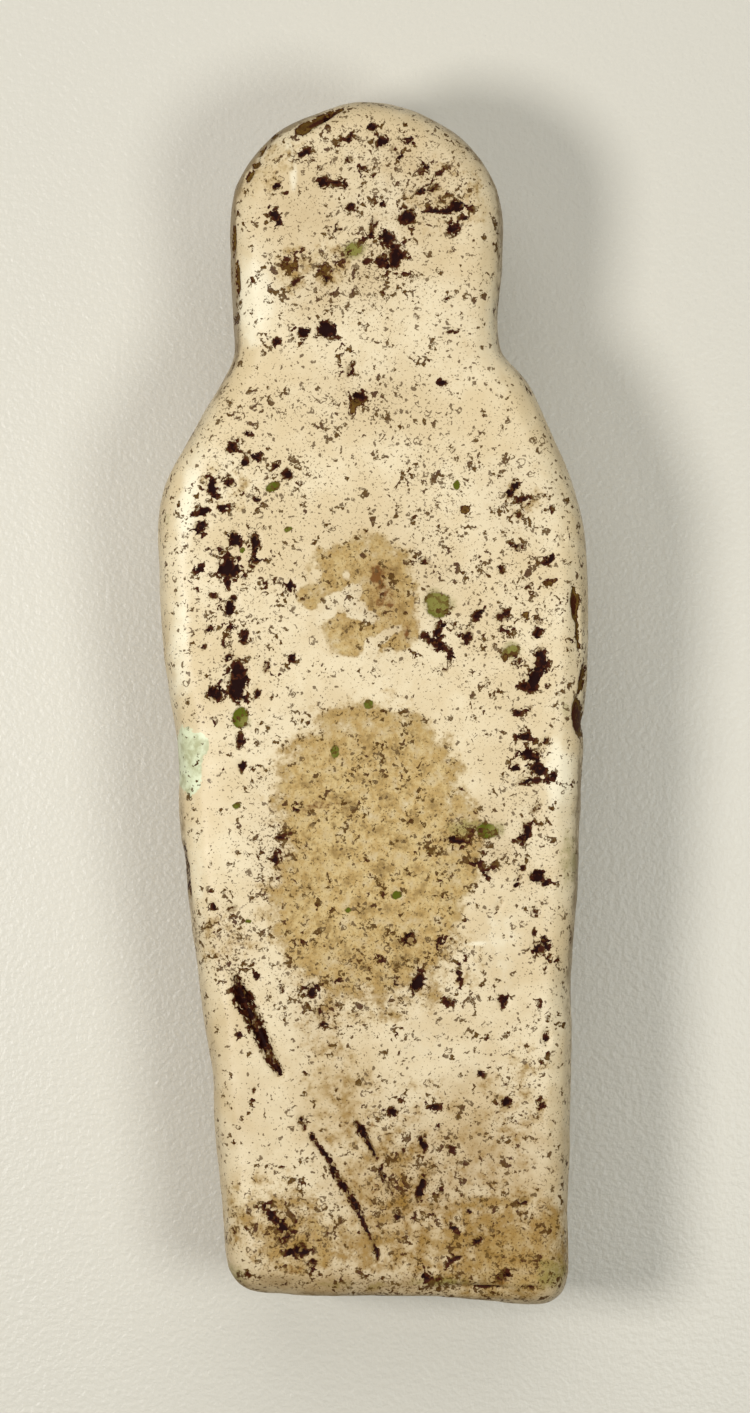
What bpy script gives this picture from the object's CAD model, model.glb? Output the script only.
"""Ushabti figurine: the worn, glazed surface of a moulded faience figure that lies face down.

The figure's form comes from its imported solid. This script gives it a fine surface, with the pits, gash,
cracks and chips of the real thing, and the stains and remains of colour on its glaze.
"""

import math

import bmesh
import bpy
import numpy as np
from bpy.props import FloatProperty, FloatVectorProperty, PointerProperty
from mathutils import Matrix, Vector, noise


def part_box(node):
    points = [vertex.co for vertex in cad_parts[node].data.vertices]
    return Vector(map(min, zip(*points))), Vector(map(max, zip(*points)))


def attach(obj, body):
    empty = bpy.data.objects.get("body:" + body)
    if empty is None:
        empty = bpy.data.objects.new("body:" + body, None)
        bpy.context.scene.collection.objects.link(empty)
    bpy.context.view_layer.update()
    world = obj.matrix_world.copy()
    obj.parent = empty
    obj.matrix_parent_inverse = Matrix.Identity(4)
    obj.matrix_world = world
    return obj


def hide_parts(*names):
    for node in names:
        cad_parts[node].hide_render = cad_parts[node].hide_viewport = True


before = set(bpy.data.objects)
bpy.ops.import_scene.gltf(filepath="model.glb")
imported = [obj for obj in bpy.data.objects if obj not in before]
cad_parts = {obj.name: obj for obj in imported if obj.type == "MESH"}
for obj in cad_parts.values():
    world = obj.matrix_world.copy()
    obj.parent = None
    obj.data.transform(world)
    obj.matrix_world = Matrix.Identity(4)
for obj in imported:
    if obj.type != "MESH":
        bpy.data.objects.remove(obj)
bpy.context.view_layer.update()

bl_info = {
    "name": "Ushabti figurine",
    "version": (1, 0, 0),
    "blender": (4, 5, 0),
    "location": "View3D > Sidebar > Ushabti",
    "description": "A moulded faience funerary figure with a worn cream glaze, on a plain table",
    "category": "Object",
}

MM = 0.001
NODE = "ushabti_figure"
LOW, HIGH = (np.array(corner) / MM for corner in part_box(NODE))
BACK_Z = HIGH[2]
RIM_DROP = 6.0
# The marks were laid out on the rim's level, and the back lies nearer to the eye.
MARK_SPREAD = 1.012
# Heights in millimetres between which the marks of the back, those of its edge, and its chips come in.
BACK_RISE = (BACK_Z - 10, BACK_Z - 6)
EDGE_RISE = (8, 14)
CHIP_RISE = (9, 14)
# A wall turns into the back, or into the front below, between these two slopes of its direction.
WALL_TURN = (0.25, 0.7)
# The mesh is finer above this height, and over the front's carving: the face, wig, arms and hoes.
FINE_ABOVE_Z = BACK_Z - 1.2 * RIM_DROP
CARVED_BELOW_Z, CARVED_ABOVE_Y, CARVED_WITHIN_X = 11, 2, 17
WELD_MM = 0.001
HOLLOW_ROUNDS = 12
# The cracks' depth as a share of the gash's, and that of green and olive scraps as a share of the pits'.
CRACK_SHARE, GREEN_SHARE, OLIVE_SHARE = 0.5, 0.4, 0.8

# ------------------------------------------------------------
# Marks on the back, in millimetres from the middle of the figure: x to the right, y towards the crown.
# A blot is (x, y, half width, half height, turn in degrees, strength).

HEAD_PITS = [
    (-0.3, 52.9, 0.6, 0.35, 0, 0.8), (-2.3, 51.9, 0.9, 0.5, 10, 0.8), (0.8, 51.5, 0.5, 0.8, -10, 0.9),
    (1.8, 50.9, 0.6, 0.3, -30, 1), (2.9, 51.7, 1, 0.35, -15, 0.9), (2.4, 50.1, 0.35, 0.4, 0, 0.8),
    (-6.5, 50.4, 0.8, 0.25, 30, 0.9), (-2.1, 49.9, 0.5, 0.6, 0, 0.8), (-0.9, 49.2, 0.3, 0.3, 0, 0.9),
    (0.1, 48.5, 0.35, 0.2, 20, 0.9), (-4.6, 47.8, 0.5, 0.9, -10, 1), (-3.1, 47.6, 1.2, 0.3, -12, 1),
    (-8.8, 47.4, 0.5, 0.25, 0, 0.8), (-8.1, 46.7, 0.35, 0.3, 0, 0.9), (4.7, 49.2, 0.8, 0.3, -35, 0.9),
    (6, 48.5, 0.5, 0.6, 20, 0.9), (5.4, 47.2, 1.1, 0.45, 15, 0.9), (4.2, 46.9, 0.35, 0.3, 0, 1),
    (-2.2, 45.6, 0.6, 0.45, 20, 1), (-1.2, 46.2, 0.35, 0.25, 0, 0.9), (0.9, 45.7, 0.6, 0.25, -20, 0.8),
    (3.2, 44.6, 0.85, 0.7, 0, 1.35), (6, 45.1, 1.6, 0.32, 2, 1), (7.6, 45.5, 0.6, 0.7, -20, 1),
    (7.3, 43.5, 0.7, 0.65, 0, 0.95), (8.4, 44.4, 0.6, 0.3, -30, 0.9), (0, 43.6, 0.45, 1, -25, 1),
    (1.4, 42.7, 0.75, 0.7, 0, 1.45), (1.9, 41, 0.65, 1.4, 0, 1.4), (0.5, 40.7, 0.8, 0.7, 20, 0.75),
    (-0.6, 40.5, 0.7, 0.35, 20, 0.75), (-3.2, 43.5, 0.55, 0.3, -20, 0.9), (-9, 44.6, 0.4, 0.8, 20, 0.9),
    (-9.7, 45.4, 0.3, 0.4, 0, 0.8), (-4.6, 34.2, 1.1, 0.8, 10, 1.1), (-6.4, 33.9, 0.6, 0.5, 0, 1.1),
    (-3.7, 33.4, 0.9, 0.4, 15, 0.9), (-8.9, 33.3, 0.35, 0.35, 0, 0.9), (-2.2, 30.5, 0.4, 0.8, -10, 0.95),
    (6.3, 29.4, 0.6, 0.3, 10, 0.8), (5.3, 42.9, 0.9, 0.3, 25, 0.6), (7, 41.5, 0.6, 0.25, -35, 0.8),
    (-7.2, 38.6, 0.8, 0.35, 35, 0.6), (-4.6, 38.9, 0.7, 0.4, 10, 0.55), (7, 34, 1.1, 0.3, 0, 0.75),
    (-1.3, 28, 0.9, 0.7, 0, 0.8), (-4.4, 54.1, 0.7, 0.3, 30, 1.1),
]
LEFT_PITS = [
    (-12.9, 23.4, 0.75, 0.65, 0, 1.1), (-11.8, 22, 0.35, 0.4, 0, 0.9), (-10.5, 22.7, 0.7, 0.35, 15, 1),
    (-11.5, 24.7, 0.6, 0.2, -10, 0.9), (-8.1, 21, 0.7, 0.45, -35, 1), (-8.8, 21.9, 0.2, 0.6, -30, 0.9),
    (-14.7, 19.7, 0.45, 1, 10, 1.1), (-13.3, 20.3, 0.7, 0.6, 30, 0.95), (-10.7, 18.7, 0.5, 0.3, 0, 0.9),
    (-15.6, 17.6, 0.9, 0.4, 20, 1), (-13.9, 17.9, 0.6, 0.25, 15, 0.9), (-15.9, 16.2, 0.65, 0.55, 0, 1),
    (-12.8, 15, 0.5, 1, 15, 1.05), (-13.4, 12.5, 0.95, 1.5, 5, 1.15), (-13.3, 10.8, 0.3, 0.8, 0, 1),
    (-10.9, 14.7, 0.4, 1, 0, 1), (-11, 13, 0.7, 0.45, 0, 0.95), (-15.9, 12.5, 0.45, 0.6, 0, 0.75),
    (-14.8, 9.9, 0.8, 0.45, -10, 0.95), (-13.1, 9, 0.5, 0.9, -20, 1.05), (-7.7, 10.8, 0.4, 0.8, 10, 1.05),
    (-8.7, 11.2, 1, 0.2, -20, 0.7), (-15.1, 6.7, 0.35, 0.45, 0, 0.9), (-11.8, 6.1, 0.5, 0.85, -15, 1),
    (-15.6, 5.1, 0.4, 0.35, 0, 0.8), (-7.5, 4.2, 0.4, 0.6, 0, 0.95), (-9.9, 3.3, 0.5, 0.75, 0, 0.9),
    (-12.5, 2.1, 1, 2.2, 6, 1.25), (-14.4, 0.8, 0.8, 0.9, 0, 0.95), (-10.7, 1, 0.4, 0.55, 0, 0.95),
    (-13.3, 4.1, 0.4, 0.5, 0, 0.95), (-12.2, -3.2, 0.4, 0.8, 0, 1.4), (-12.1, -5.8, 0.35, 0.6, 0, 1.35),
    (-8, 4.6, 0.5, 0.4, 0, 0.5), (-14.8, -18.6, 0.35, 0.6, 0, 0.9), (-12.9, -18.9, 0.9, 0.45, 10, 0.85),
    (-10.8, -24.9, 0.3, 0.3, 0, 1), (-8.3, -26.2, 0.3, 0.3, 0, 1), (-12.4, -30.4, 0.25, 0.4, 0, 0.9),
    (-11, -35.5, 0.3, 0.6, -15, 0.8), (-13.3, -22.2, 1.5, 1.4, 0, 0.42),
]
RIGHT_PITS = [
    (13, 20, 0.5, 0.4, -45, 0.9), (12.5, 19.2, 0.5, 0.5, 0, 0.7), (13.7, 18.7, 0.6, 0.6, 0, 0.8),
    (13.3, 17.4, 0.5, 0.7, 0, 0.7), (15.7, 17.7, 0.6, 0.35, -30, 0.65), (17.4, 15.1, 0.45, 0.35, 20, 0.8),
    (16.2, 13.2, 0.35, 0.65, -20, 0.9), (13.1, 14.2, 0.6, 0.3, -15, 0.9),
    (11.8, 12.2, 0.6, 0.3, -10, 0.8), (11.8, 8.1, 1, 0.75, 0, 0.95), (9.6, 8.2, 0.7, 0.45, 25, 0.8),
    (4.6, 13, 0.55, 0.5, 0, 0.75), (5.9, 6.7, 0.6, 1.1, -10, 1), (5.7, 5.4, 1.1, 0.5, -28, 1.15),
    (8.7, 6.2, 0.5, 0.7, 0, 0.95), (6.9, 4, 0.5, 0.9, 20, 0.6), (6.5, 3, 0.3, 0.3, 0, 1),
    (13.3, 3.8, 0.45, 0.4, 0, 1), (15.1, 6.3, 0.4, 0.6, -15, 0.95), (15.3, 4.1, 0.6, 1.1, 0, 1.15),
    (14.8, 2.5, 0.6, 0.9, 0, 0.95), (14.4, 1.5, 1, 0.5, 0, 1), (13, -0.7, 0.6, 0.3, 0, 0.85),
    (14.4, -0.5, 0.5, 0.25, 0, 0.8), (13.8, -3.1, 0.75, 0.55, -10, 0.95),
    (15.9, -3.3, 0.35, 0.6, -25, 0.95), (14.5, -4.8, 1.1, 0.5, 0, 1.15), (15, -6, 0.9, 1, 0, 1.2),
    (13, -5.9, 0.6, 0.3, 10, 1), (14.8, -7.1, 2, 0.4, 4, 1.15), (16.5, -6.8, 0.3, 0.6, 0, 0.9),
    (14.8, -9.7, 0.9, 0.45, 35, 1), (14.1, -11.5, 0.55, 0.9, 0, 1), (13.5, -12.4, 0.9, 0.3, 15, 1),
    (15, -15.9, 0.8, 0.65, -20, 1), (15.8, -16.5, 0.7, 0.25, 0, 0.85), (14.7, -19, 0.6, 0.45, 0, 0.85),
    (14.7, -21, 0.35, 0.45, 0, 0.8), (15.3, -22.5, 0.85, 0.75, 0, 1.05),
    (16.2, -23.2, 0.4, 0.45, -35, 0.9), (7.5, -12.6, 1.3, 0.4, -12, 0.85),
    (9.4, -14.2, 0.8, 0.8, 0, 0.55), (10.4, -15.9, 0.5, 1, 0, 0.45), (9.8, -3, 0.5, 0.25, 0, 0.6),
    (14.2, 10.7, 0.6, 0.4, 0, 0.7), (15.1, 7.8, 0.6, 0.5, -20, 0.6),
]
LOW_PITS = [
    (3.5, -21.6, 0.9, 0.8, -30, 0.8), (6, -22.1, 0.5, 0.5, 0, 0.85), (4, -25.6, 0.5, 1.2, -14, 1.1),
    (6.7, -27.4, 0.7, 0.8, 0, 0.65), (11.8, -27.4, 0.45, 0.8, 0, 0.8), (15.9, -30.6, 0.45, 0.9, 0, 1.05),
    (9.7, -33.9, 0.35, 0.35, 0, 1), (12.3, -36.7, 0.6, 0.6, 0, 0.95), (15.5, -36.9, 0.5, 0.4, 0, 0.85),
    (1.8, -37.5, 0.75, 0.45, 0, 1.05), (5.6, -37.1, 0.45, 0.3, 40, 1), (4.5, -40.3, 0.32, 1, 15, 1.35),
    (7.2, -41, 0.3, 0.55, 0, 0.9), (4.3, -44.6, 0.38, 1.3, -12, 1.35), (5.5, -43, 0.9, 0.25, 10, 0.75),
    (3.2, -43.4, 0.2, 0.6, 0, 0.85), (7.3, -48.1, 0.7, 0.35, -15, 0.9), (8.7, -46.4, 0.35, 0.25, 0, 0.9),
    (9.5, -49.3, 0.6, 0.4, 30, 1), (7.7, -50.8, 0.9, 0.22, 20, 0.85), (5.2, -46.3, 0.22, 0.6, 0, 0.85),
    (0.6, -43.2, 0.3, 0.5, 0, 0.85), (13.7, -45.7, 0.5, 0.4, 0, 0.7), (15.3, -45.9, 0.4, 0.5, 0, 0.65),
    (-9.6, -46.7, 1, 0.35, -50, 0.9), (-8.4, -47.9, 1, 0.5, -45, 1.15), (-6.7, -50.2, 1.5, 1, 0, 0.84),
    (-5.6, -51.3, 0.5, 0.45, 0, 0.95), (-7.3, -48.5, 0.7, 0.3, 10, 0.9), (-5.6, -26.4, 0.5, 0.8, 0, 1.4),
    (-5, -28.3, 0.25, 1.2, 20, 0.9), (-4.6, -29.4, 0.3, 0.2, 0, 0.95), (-6.7, -38.1, 0.3, 0.7, -10, 0.6),
    (-3.1, -33.8, 0.2, 0.9, 0, 0.6), (2.2, -36, 0.3, 0.2, 0, 0.6), (10.5, -53.9, 2.2, 0.25, 0, 0.8),
    (14.3, -53.7, 0.8, 0.3, 0, 0.8), (5, -52.6, 1.1, 0.8, 0, 0.62), (12.1, -52.7, 0.9, 0.5, 0, 0.75),
    (-8, -49, 0.6, 1.2, -20, 0.75), (-6, -48.6, 0.4, 0.7, 0, 0.8), (2.2, -46.9, 0.5, 0.9, 0, 0.7),
    (3.6, -46.6, 0.3, 1, 0, 0.7), (6.2, -44.6, 0.4, 0.6, 0, 0.7), (2.7, -41.2, 0.3, 0.7, 0, 0.7),
    (6, -39, 0.4, 0.5, 0, 0.6), (-9, -14, 0.4, 0.9, 0, 0.9), (-8.4, -12.2, 0.7, 0.3, 20, 0.8),
    (-8.9, -16, 0.3, 0.6, 0, 0.8), (-7.2, -10.2, 0.3, 0.8, -30, 0.6), (-3, -25.4, 0.6, 0.4, 0, 0.6),
    (0.6, -23.6, 0.7, 0.5, 0, 0.7), (-6.5, -22, 0.5, 0.6, 0, 0.7), (2, -25.6, 0.3, 0.7, 0, 0.6),
    (7.8, -24.6, 0.4, 0.8, 0, 0.6),
]
PITS = HEAD_PITS + LEFT_PITS + RIGHT_PITS + LOW_PITS

# A stroke is a line of (x, y, half width) points.
GASH = [
    (-12.7, -25.2, 0.35), (-12.1, -26.9, 0.78), (-11.1, -28.9, 0.72), (-10.2, -30.8, 0.6),
    (-9.3, -32.8, 0.52), (-8.5, -34.2, 0.2),
]
CRACKS = [
    [(-5.8, -39.5, 0.16), (-5.4, -40.3, 0.2), (-4.3, -41.6, 0.22), (-3.1, -43.8, 0.24), (-1.9, -45.5, 0.28),
     (-0.75, -48.1, 0.26), (-0.1, -49.4, 0.14), (0.2, -50.2, 0.24), (0.4, -51.1, 0.16)],
    [(-6.9, -37.7, 0.1), (-6.3, -39, 0.16)],
    [(-1.6, -38.4, 0.2), (-0.8, -39.6, 0.3), (0.2, -41.7, 0.2)],
    [(0.6, -42.4, 0.1), (1.3, -44.2, 0.16), (1.8, -45.2, 0.08)],
    [(-17.5, -12.9, 0.16), (-17.3, -15.2, 0.32), (-16.95, -17.6, 0.16)],
    [(13.8, -14.9, 0.08), (13, -16.8, 0.1)],
    [(11.9, -17.8, 0.08), (11.1, -19.3, 0.1)],
]

TAN_STAINS = [
    (-0.6, 10, 4.6, 5.3, 0, 1), (-5.5, 9.8, 1.6, 1.3, 0, 0.85), (-4.4, 12.6, 1.8, 1.8, 0, 0.8),
    (-2.5, 6, 2.2, 1.6, -25, 1), (2.6, 6.6, 1.6, 1.8, 0, 0.9), (-0.4, -8.6, 8.6, 8.4, 0, 1),
    (-0.8, -18.6, 8.8, 8.2, 0, 1), (7.2, -13, 2.9, 5.2, 0, 0.9), (0.4, -26.5, 7, 3.2, 5, 0.55),
    (-2.6, -36.5, 3.6, 6.4, 18, 0.5), (1.2, -44.5, 4.6, 7, 15, 0.55), (12.9, -36.5, 3, 6, -10, 0.45),
    (-9, -47.6, 5, 4.4, -15, 0.6), (-6.8, -49.6, 3.6, 2.8, 0, 0.85), (11.4, -49.8, 7.4, 5.2, 0, 0.75),
    (13, -51, 4, 3.2, 0, 0.95), (-13.6, -22, 2.6, 3, 0, 0.5), (2.2, -49.4, 9, 3, 0, 0.6),
    (8, -40, 7, 9, 0, 0.36), (-4, 40.2, 2, 2.2, 0, 0.6), (-7.4, 39.8, 1.8, 2.4, 0, 0.6),
    (13.8, 18.6, 1.8, 2.4, 0, 0.5), (-13.8, 19.6, 2.6, 2.6, 0, 0.45), (-9, 49.2, 3.6, 1.6, 50, 0.5),
    (9.3, 45.5, 1.4, 3, 15, 0.45), (8.6, -24, 1.6, 2.6, 0, 0.45), (6.5, 46.5, 4.5, 3.5, 30, 0.35),
    (-4.6, -28.8, 2.6, 4.6, 10, 0.42),
]
TAN_HOLES = [
    (-3, 9.2, 1.4, 0.9, -10, 1), (-1.9, 10.2, 0.8, 0.7, 0, 1), (-4.3, 8.6, 1, 0.8, 20, 1),
    (-1.6, 8.5, 1, 0.8, 0, 1), (-0.4, 7.9, 0.7, 0.6, -20, 1), (-2.5, 11.7, 0.4, 0.35, 0, 0.9),
    (-5.4, 11.7, 0.5, 0.4, 0, 0.9), (-0.2, 5.2, 0.6, 0.8, 10, 1), (0.9, 6.1, 0.9, 0.45, 35, 1),
    (1.9, 6.7, 0.7, 0.3, 35, 0.8), (-5.6, 7.9, 0.8, 0.6, 0, 0.8), (-11.4, -30.5, 3, 6, 20, 1),
    (7.8, -31.5, 4.4, 3.2, 20, 0.7),
]
OCHRE = [
    (0.2, 11.6, 0.45, 0.75, -20, 1.5), (0.7, 10.8, 0.4, 0.6, 20, 1.3), (0.2, 12.4, 0.3, 0.45, 0, 1.2),
    (1, 10, 0.35, 0.7, -20, 1.2), (0.5, 9.2, 0.35, 0.5, 0, 1.1), (1.5, 9, 0.35, 0.5, 0, 1.2),
    (-0.4, 11.4, 0.3, 0.25, 0, 0.9), (1.6, 10.6, 0.2, 0.5, -30, 0.8), (0.9, 10.5, 1.5, 2.4, 15, 0.66),
    (1.5, 8, 0.5, 0.8, 20, 0.7), (3, 6.4, 0.4, 0.7, 10, 1.1), (-5.1, -9.5, 2.6, 0.8, 0, 0.6),
    (11.8, -52.8, 1, 1, 0, 0.9), (-2.4, -51.7, 0.8, 0.6, 0, 0.6), (-7.2, -51.8, 1.6, 0.7, 20, 0.6),
    (-0.6, -39.2, 1.2, 2, 30, 0.5), (0.2, -45, 1.2, 2.2, 35, 0.5),
]
WASH = [
    (11.5, -50, 8.5, 6, 0, 0.8), (-8, -49.5, 5.5, 4.6, 0, 0.62), (1, -51, 16, 6, 0, 0.6),
    (4, -45.5, 8, 8, 0, 0.8), (10, -43, 7, 8, 0, 0.7), (0, -36, 22, 14, 0, 0.22),
    (-2.5, -37.5, 4.5, 7, 15, 0.5), (0, -25.5, 9, 4, 0, 0.3), (3, 46, 12, 9, 0, 0.2),
    (5, 47.5, 9, 6, 10, 0.32), (-6, 45, 6, 7, 0, 0.22), (-4.5, 39, 6, 3, 0, 0.3), (0, 29, 6, 4, 0, 0.12),
    (13, 18.5, 3, 3.5, 0, 0.25), (9.6, -12.5, 3, 2.4, 0, 0.4), (0.5, 10.5, 5.5, 5.5, 0, 0.26),
    (0.9, 10.2, 2.4, 3.6, 15, 0.62), (2.8, 6.9, 1.2, 1.5, 0, 0.5), (-8, -15, 3, 7, 0, 0.25),
    (-13.5, -22, 3, 3, 0, 0.3), (14.5, -14, 3, 9, 0, 0.15), (-2.5, -3, 6, 3, 0, 0.2),
    (0, -53.4, 17, 1.6, 0, 0.85), (-5, -29, 3.4, 5, 10, 0.42), (-12, -38, 5, 9, 0, 0.26),
    (8.5, 36, 4, 6, 0, 0.16), (11.5, -25, 4, 8, 0, 0.16), (-8, -48.5, 5, 4, 0, 0.56),
]
PALE = [
    (-11, 37, 1.9, 4.4, 0, 1), (16.9, -6.4, 1.6, 3.6, 0, 0.9), (11.8, -21.6, 2.4, 5.4, 0, 0.5),
    (4.8, -32.2, 4.2, 4, 0, 0.4), (-10.8, -37, 3.6, 6, 0, 0.35), (-17, 18.5, 1.2, 6, -8, 0.8),
    (-17.8, 5, 1.2, 8, 0, 0.7), (-16.2, -16, 1, 8, 3, 0.5), (9.4, -22, 1.3, 0.2, 3, 0.9),
    (-6.9, -9, 0.15, 1, -35, 0.8), (-7.7, 50.6, 0.45, 1.3, 15, 0.9), (-7.4, 48.4, 0.4, 1.7, 0, 0.9),
    (6, -32, 3.6, 3, 0, 0.4), (9.5, -42.5, 2.6, 0.7, 40, 0.5), (11, 35, 1, 6, 0, 0.5),
]
MINT = [(-17, -5.3, 1.3, 3.2, 2, 1), (-16.4, -3.8, 1.4, 1.2, 0, 1)]
WALL_DIRT = [
    (-13, 42, 3, 9, 0, 0.8), (-9, 51, 4, 3, 40, 0.8), (13, 41, 2.5, 8, 0, 0.5), (-2, -55, 15, 2, 0, 0.25),
    (19, -15, 2, 12, 0, 0.5), (-18, -16, 2, 4, 0, 0.6), (9, 51, 4, 3, -40, 0.4),
]
GREEN = [
    (-1.8, 41.6, 1.05, 0.75, 35, 0.8), (12.6, 4.8, 0.95, 0.6, 30, 0.85), (-9.3, 19.8, 0.75, 0.45, 30, 1),
    (-7.9, 15.9, 0.5, 0.25, 25, 1), (-12.1, 14, 0.25, 0.3, 0, 1), (7.6, 20, 0.32, 0.5, 0, 1),
    (5.8, 9, 1.15, 1.25, 0, 0.95), (-12.3, -1.3, 0.75, 0.95, 0, 1), (-0.5, -0.1, 0.45, 0.45, 0, 1),
    (-3.6, -4.5, 0.38, 0.62, 0, 1.05), (-12.6, -9.4, 0.4, 0.3, 0, 0.9), (10.4, -11.7, 1.1, 0.7, -6, 0.95),
    (2.1, -17.6, 0.45, 0.4, 20, 1), (-2.4, -19, 0.35, 0.35, 0, 0.9), (-11.5, -20, 0.35, 0.3, 0, 0.8),
]
GREEN_TINTS = [
    (17.9, -14.5, 1, 3.6, 0, 0.8), (16.4, -52.4, 1.8, 2, 0, 0.9), (-12.6, -52.4, 1.8, 1, -35, 0.7),
    (6, -53.2, 3.4, 0.7, 0, 0.9), (-2, -53.4, 9, 0.8, 0, 0.5), (17.6, -0.5, 0.8, 1.6, 0, 0.6),
    (10.9, 44, 1, 3.4, 12, 0.5), (-5.6, 53.4, 1.5, 0.7, 25, 0.9), (8.4, -11.3, 1.8, 1, 0, 1),
    (-19.1, 16.8, 0.6, 1.4, 0, 0.6), (16.5, -0.5, 1, 1, 0, 0.5), (5.8, 9.2, 1.6, 1.5, 0, 1.1),
    (-1.8, 41.6, 1.3, 1, 20, 1.2), (12.6, 4.8, 1.1, 0.8, 25, 1.3), (-11.9, -1.7, 0.8, 0.8, 0, 1.1),
    (11.2, -11.7, 1, 0.9, 0, 1.1), (-9.6, 20, 0.7, 0.5, 30, 0.8),
]
# Crisp olive-brown scraps, where the glaze has flaked off an edge or worn thin.
OLIVE = [
    (-5.2, 53.7, 1.9, 0.4, 26, 1.15), (-4, 54.35, 0.9, 0.25, 20, 1.7), (-6.5, 52.85, 0.9, 0.6, 35, 0.85),
    (-7.5, 40.2, 1.1, 1.3, 20, 0.54), (-4.4, 39.7, 1.1, 1.3, -10, 0.56), (-3, 40.4, 0.7, 0.6, 0, 0.5),
    (-6.6, 41.6, 0.7, 0.5, 0, 0.5), (0.6, 47.6, 0.6, 0.5, 0, 0.45), (5, 48.4, 0.9, 0.6, -30, 0.5),
    (-9.1, 52.2, 0.4, 0.2, 40, 0.9), (-10.3, 50.8, 0.7, 0.2, 55, 0.9),
    (-10.9, 49.6, 0.35, 0.45, -20, 0.9), (-11.5, 48.4, 0.3, 0.8, -25, 0.8),
    (-12.6, 39, 0.25, 1.6, 2, 0.9), (-12.7, 35.4, 0.3, 0.5, 0, 1), (-12.9, 42.5, 0.2, 1.6, -4, 0.8),
    (18.7, 9.1, 0.36, 1.2, 5, 1.5), (18.95, 6.7, 0.16, 1.9, 3, 1), (19.15, 2.2, 0.22, 1.6, -12, 1),
    (18.9, -1.3, 0.42, 1.3, 5, 1.9), (12.1, 4.2, 0.25, 0.5, 0, 0.7), (16.2, 11.2, 1.2, 0.4, 8, 0.66),
    (14, 8.1, 0.7, 0.5, -15, 0.66), (15.1, 7.5, 0.6, 0.4, -20, 0.66), (8.3, 17.8, 0.5, 0.4, -30, 0.9),
    (-9.7, 23.3, 0.5, 0.25, 20, 0.7), (-1.5, 27.6, 0.8, 0.5, 10, 0.9), (-2, 26.8, 0.4, 0.6, 0, 0.8),
]

# A chip is a dent at the edge and a swell stands out; their strengths are in millimetres.
CHIPS = [
    (-17.6, -5, 1.5, 3.4, 0, 0.2), (-5.6, 53.8, 2.2, 1, 25, 0.3), (18.9, 8, 0.8, 4, 0, 0.3),
    (19.2, -1.3, 0.8, 1.8, 0, 0.2), (-18.2, -16, 0.8, 2.4, 0, 0.1), (-12.9, 43, 0.8, 5, 0, 0.1),
    (-10.6, 50.3, 2.6, 1, 48, 0.1), (11.8, 37, 0.8, 3, 0, 0.2), (9, -53.9, 3, 0.7, 0, 0.5),
    (-9, -53.9, 2, 0.8, 0, 0.35), (17.9, -26, 0.8, 3, 0, 0.3), (-15.2, -34, 0.8, 3.4, 0, 0.3),
]

SWELLS = [(-18.4, -1, 1.6, 9, 0, 0.3)]

# Where the glaze is full of small flecks.
SPECK_FIELDS = [
    (1.5, 47, 9, 6, 0, 0.75), (-6, 39.5, 4.5, 4, 0, 0.6), (3, 33, 9, 6, 0, 0.4), (2, 24, 12, 7, 0, 0.5),
    (-13, 14, 6, 13, 0, 0.6), (13, 9, 6, 14, 0, 0.6), (-0.5, -14.5, 9, 13.5, 0, 0.5),
    (1.5, -24.5, 8.5, 4, 0, 0.85), (3.5, -43, 6.5, 8, 0, 0.7), (11, -48.5, 7, 6, 0, 0.8),
    (-8, -48.5, 5, 4.5, 0, 0.75), (-13.6, -21.5, 3.4, 3.6, 0, 1), (13.5, -36.5, 2.6, 6, 0, 0.7),
    (0.3, 10, 6, 6, 0, 0.5), (14.5, -14, 3, 10, 0, 0.6), (-4, 51, 6, 4, 0, 0.9),
    (0.5, 41, 4.5, 3.5, 0, 1.3), (5, 47.3, 3.6, 3.6, 0, 1.35), (1.8, 50.6, 3.2, 2, 0, 1.3),
    (-10.5, 27.5, 4, 2.5, 0, 0.8), (-1.2, 28, 3, 3, 0, 1.2), (-9.3, -13, 2.2, 5, 0, 1.2),
    (14.5, -8, 2.5, 4, 0, 1), (2.5, -44.5, 3, 5, 0, 1.3), (6, -42, 3, 3, 0, 1.1),
    (-7, -49, 4, 3.4, 0, 1.4), (13, -52, 5, 2.4, 0, 1.1), (-3, -27.5, 6, 3, 0, 1),
    (8, -46.5, 4, 3, 0, 0.9), (-9, 20, 5, 4, 0, 0.8), (9, -12.5, 3, 2.6, 0, 1.3),
    (-3.5, 38.5, 6, 4, 0, 0.9), (6, 20, 3, 5, 0, 0.9), (6, 13, 2.5, 3, 0, 1),
    (-5.7, 27.3, 3, 2.5, 0, 0.8), (-5.7, 20.5, 3, 3, 0, 0.8), (-13.4, 23, 3, 3.4, 0, 1),
    (6, -53.4, 12, 1.4, 0, 1.3), (-12.8, -24, 1.8, 2, 0, 1.3),
]

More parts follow.
